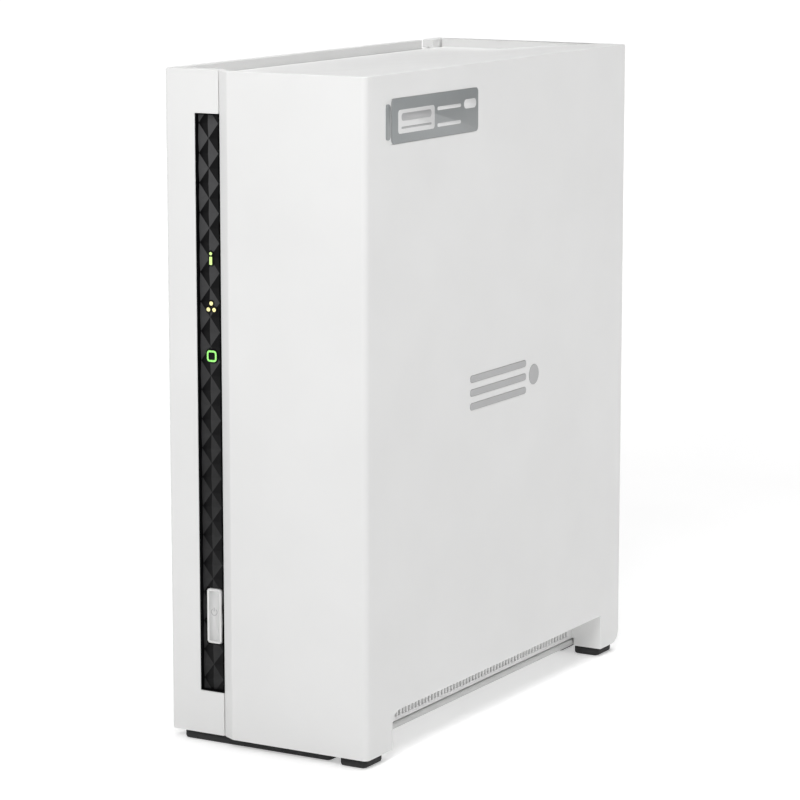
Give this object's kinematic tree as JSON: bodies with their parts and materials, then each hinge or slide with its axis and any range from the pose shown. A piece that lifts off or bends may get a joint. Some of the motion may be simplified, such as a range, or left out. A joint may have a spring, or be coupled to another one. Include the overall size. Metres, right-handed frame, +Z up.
{
  "type": "network attached storage",
  "caption": "Upright single-drive network storage case with a faceted indicator strip, power button, side arch and a pull-off cover.",
  "frame": {"origin": "on the floor, under the middle of the case's plan box", "axes": "+X to the right seen from the front, +Y to the back, +Z up"},
  "size_m": [0.0663, 0.1562, 0.1911],
  "materials": {
    "shell_white": "fine satin grain, cool white",
    "panel_white": "satin, cool white",
    "tray_white": "satin, light grey-white",
    "strip_black": "faceted, semi-gloss black",
    "lens_status": "clear, lit pale green",
    "lens_network": "clear, lit pale yellow",
    "lens_drive": "clear, lit green",
    "button_white": "smooth, white",
    "board_green": "solder mask with copper tracks",
    "board_blue": "solder mask with copper tracks",
    "lamp_clear": "clear epoxy",
    "part_black": "moulded black",
    "part_ivory": "moulded ivory",
    "chip_black": "epoxy chip package",
    "tin_bright": "tinned, bright",
    "zinc_steel": "zinc-plated sheet",
    "screw_steel": "nickel-plated",
    "cast_alloy": "bead-blasted casting",
    "fin_alloy": "extruded, satin",
    "disk_mirror": "mirror polished",
    "coil_copper": "wound copper",
    "can_blue": "sleeved can",
    "foot_rubber": "matte black rubber",
    "label_grey": "printed satin film",
    "mark_grey": "printed grey"
  },
  "bodies": {
    "chassis": {"left_shell": "shell_white", "base_tray": "tray_white", "rear_panel": "panel_white", "front_strip": "strip_black", "status_lens": "lens_status", "network_lens": "lens_network", "drive_lens": "lens_drive", "front_board": "board_green", "indicator_lamps": "lamp_clear", "power_switch": "part_black", "mainboard": "board_green", "processor": "chip_black", "heat_sink": "fin_alloy", "memory_chips": "chip_black", "flash_chip": "chip_black", "coin_cell": "tin_bright", "cell_holder": "part_black", "capacitors": "can_blue", "riser_slot": "part_ivory", "riser_board": "board_green", "drive_socket": "part_black", "network_socket": "tin_bright", "usb_sockets": "tin_bright", "power_inlet": "part_black", "reset_switch": "part_black", "drive_bracket": "zinc_steel", "drive_base": "cast_alloy", "drive_lid": "fin_alloy", "drive_circuit": "board_blue", "drive_plug": "part_black", "coil_magnets": "tin_bright", "fan_frame": "part_black", "fan_screws": "screw_steel", "board_screws": "screw_steel", "bracket_spacers": "zinc_steel", "bracket_screws": "screw_steel", "drive_screws": "screw_steel", "panel_screws": "screw_steel", "base_screws": "screw_steel", "front_foot_bar": "foot_rubber", "rear_foot_bar": "foot_rubber"},
    "cover": {"side_cover": "shell_white", "cover_feet": "foot_rubber", "label_plate": "label_grey", "side_mark": "mark_grey", "cover_screws": "screw_steel"},
    "power_key": {"power_button": "button_white"},
    "reset_key": {"reset_button": "part_black"},
    "rotor": {"fan_rotor": "part_black"},
    "disk_pack": {"drive_disks": "disk_mirror", "drive_hub": "cast_alloy", "disk_clamp": "fin_alloy"},
    "head_carriage": {"head_arm": "cast_alloy", "arm_coil": "coil_copper"}
  },
  "joints": [
    {"name": "cover_slide", "type": "slide", "parent": "chassis", "child": "cover", "axis": [1, 0, 0], "range_m": [0, 0.08]},
    {"name": "power_press", "type": "slide", "parent": "chassis", "child": "power_key", "axis": [0, 1, 0], "range_m": [0, 0.001], "stiffness_N_per_m": 400},
    {"name": "reset_press", "type": "slide", "parent": "chassis", "child": "reset_key", "axis": [0, -1, 0], "range_m": [0, 0.0006], "stiffness_N_per_m": 400},
    {"name": "fan_spin", "type": "hinge", "parent": "chassis", "child": "rotor", "pos_m": [0, 0.066, 0.146], "axis": [0, 1, 0], "continuous": true},
    {"name": "disk_spin", "type": "hinge", "parent": "chassis", "child": "disk_pack", "pos_m": [0.012, -0.0072, 0.1307], "axis": [1, 0, 0], "continuous": true},
    {"name": "arm_swing", "type": "hinge", "parent": "chassis", "child": "head_carriage", "pos_m": [0.012, 0.0198, 0.0807], "axis": [-1, 0, 0], "range_deg": [0, 33]}
  ]
}
